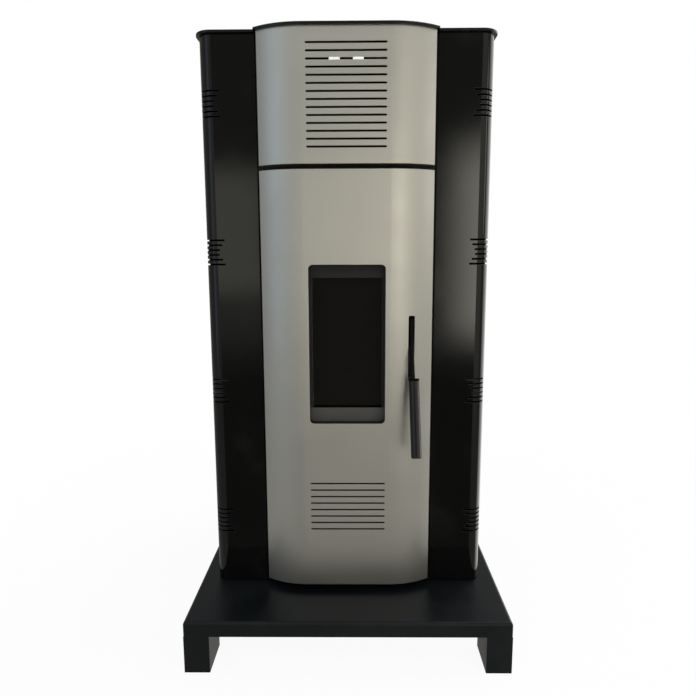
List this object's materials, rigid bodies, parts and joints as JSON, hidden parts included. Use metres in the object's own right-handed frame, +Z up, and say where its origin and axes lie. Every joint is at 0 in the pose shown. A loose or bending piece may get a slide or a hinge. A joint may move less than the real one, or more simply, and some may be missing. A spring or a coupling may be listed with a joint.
{
  "type": "pellet stove",
  "caption": "Free-standing wood-pellet stove with a crowned brushed-steel front, glazed fire door, lever handle and black sides, on a low bench stand.",
  "frame": {"origin": "on the floor under the middle of the stand", "axes": "+Z up, +X to the right as seen by someone facing the door, -Y out of the door's front"},
  "size_m": [0.6, 0.7, 1.1713],
  "materials": {
    "stand_black": "satin black powder coat",
    "panel_black": "high-gloss black enamel",
    "top_black": "black enamel",
    "frame_black": "matt black heat-proof paint",
    "lower_bar_grey": "grey heat-proof paint",
    "brushed_front": "satin brushed, warm grey",
    "bright_clip": "bright spring steel",
    "rear_grey": "dark grey paint",
    "zinc": "zinc-plated steel",
    "fire_iron": "black cast iron",
    "heat_black": "heat-proof black",
    "liner": "pressed vermiculite",
    "door_glass": "dark ceramic glass",
    "rope": "woven glass-fibre seal",
    "hopper_steel": "grey sheet steel",
    "fan_aluminium": "cast aluminium",
    "motor_case": "dark motor case",
    "handle_black": "gloss black",
    "grip_black": "gloss black grip",
    "control_plastic": "black moulded plastic",
    "display": "dark display window",
    "button_rubber": "grey buttons",
    "rocker_plastic": "gloss black rocker"
  },
  "bodies": {
    "stove": {"air_inlet_pipe": "zinc", "ash_drawer": "heat_black", "auger_motor": "motor_case", "auger_tube": "zinc", "baffle_plate": "fire_iron", "base_pan": "frame_black", "blower_housing": "zinc", "blower_motor": "motor_case", "control_bezel": "control_plastic", "control_box": "rear_grey", "display_window": "display", "door_catch": "frame_black", "door_hinge_brackets": "frame_black", "drop_chute": "zinc", "fascia_clips": "bright_clip", "firebox": "heat_black", "firebox_liners": "liner", "flue_fan_housing": "fan_aluminium", "flue_fan_motor": "motor_case", "flue_spigot": "heat_black", "front_frame": "frame_black", "hopper": "hopper_steel", "igniter": "zinc", "left_side_panel": "panel_black", "levelling_feet": "zinc", "lid_hinges": "zinc", "lid_seal": "rope", "mains_inlet": "control_plastic", "panel_screws": "zinc", "rear_panel": "rear_grey", "right_side_panel": "panel_black", "stand_legs": "stand_black", "stand_top": "stand_black", "top_plate": "top_black", "upper_fascia": "brushed_front", "warm_air_duct": "frame_black"},
    "door": {"door_panel": "brushed_front", "window_surround": "frame_black", "fire_door": "fire_iron", "door_glass": "door_glass", "glass_gasket": "rope", "glass_clips": "zinc", "upper_glass_bar": "frame_black", "lower_glass_bar": "lower_bar_grey", "door_rope_gasket": "rope", "door_hinge_knuckles": "frame_black", "latch_bracket": "frame_black"},
    "handle": {"handle_lever": "handle_black", "handle_grip": "grip_black", "handle_collar": "handle_black"},
    "lid": {"hopper_lid": "top_black"},
    "burner": {"burner_pot": "fire_iron"},
    "auger": {"auger_screw": "zinc"},
    "flue_wheel": {"flue_fan_wheel": "fan_aluminium"},
    "room_wheel": {"blower_wheel": "zinc"},
    "rocker": {"rocker_switch": "rocker_plastic"},
    "button_power": {"button_power": "button_rubber"},
    "button_up": {"button_up": "button_rubber"},
    "button_down": {"button_down": "button_rubber"},
    "button_set": {"button_set": "button_rubber"}
  },
  "joints": [
    {"name": "door_hinge", "type": "hinge", "parent": "stove", "child": "door", "pos_m": [-0.149, -0.211, 0.5], "axis": [0, 0, -1], "range_deg": [0, 100]},
    {"name": "handle_pivot", "type": "hinge", "parent": "door", "child": "handle", "pos_m": [0.12, -0.225, 0.638], "axis": [-1, 0, 0], "range_deg": [0, 50]},
    {"name": "lid_hinge", "type": "hinge", "parent": "stove", "child": "lid", "pos_m": [0, 0.276, 1.161], "axis": [-1, 0, 0], "range_deg": [0, 80]},
    {"name": "burner_lift", "type": "slide", "parent": "stove", "child": "burner", "axis": [0, 0, 1], "range_m": [0, 0.12]},
    {"name": "auger_turn", "type": "hinge", "parent": "stove", "child": "auger", "pos_m": [0, 0.15, 0.64], "axis": [0, 1, 0], "continuous": true},
    {"name": "flue_fan_turn", "type": "hinge", "parent": "stove", "child": "flue_wheel", "pos_m": [-0.03, 0.19, 0.23], "axis": [1, 0, 0], "continuous": true},
    {"name": "blower_turn", "type": "hinge", "parent": "stove", "child": "room_wheel", "pos_m": [0, 0.07, 0.19], "axis": [1, 0, 0], "continuous": true},
    {"name": "rocker_tip", "type": "hinge", "parent": "stove", "child": "rocker", "pos_m": [0.203, 0.298, 0.163], "axis": [-1, 0, 0], "range_deg": [0, 16]},
    {"name": "press_power", "type": "slide", "parent": "stove", "child": "button_power", "axis": [0, 0, -1], "range_m": [0, 0.0012], "stiffness_N_per_m": 300, "springref_m": -0.001},
    {"name": "press_up", "type": "slide", "parent": "stove", "child": "button_up", "axis": [0, 0, -1], "range_m": [0, 0.0012], "stiffness_N_per_m": 300, "springref_m": -0.001},
    {"name": "press_down", "type": "slide", "parent": "stove", "child": "button_down", "axis": [0, 0, -1], "range_m": [0, 0.0012], "stiffness_N_per_m": 300, "springref_m": -0.001},
    {"name": "press_set", "type": "slide", "parent": "stove", "child": "button_set", "axis": [0, 0, -1], "range_m": [0, 0.0012], "stiffness_N_per_m": 300, "springref_m": -0.001}
  ]
}
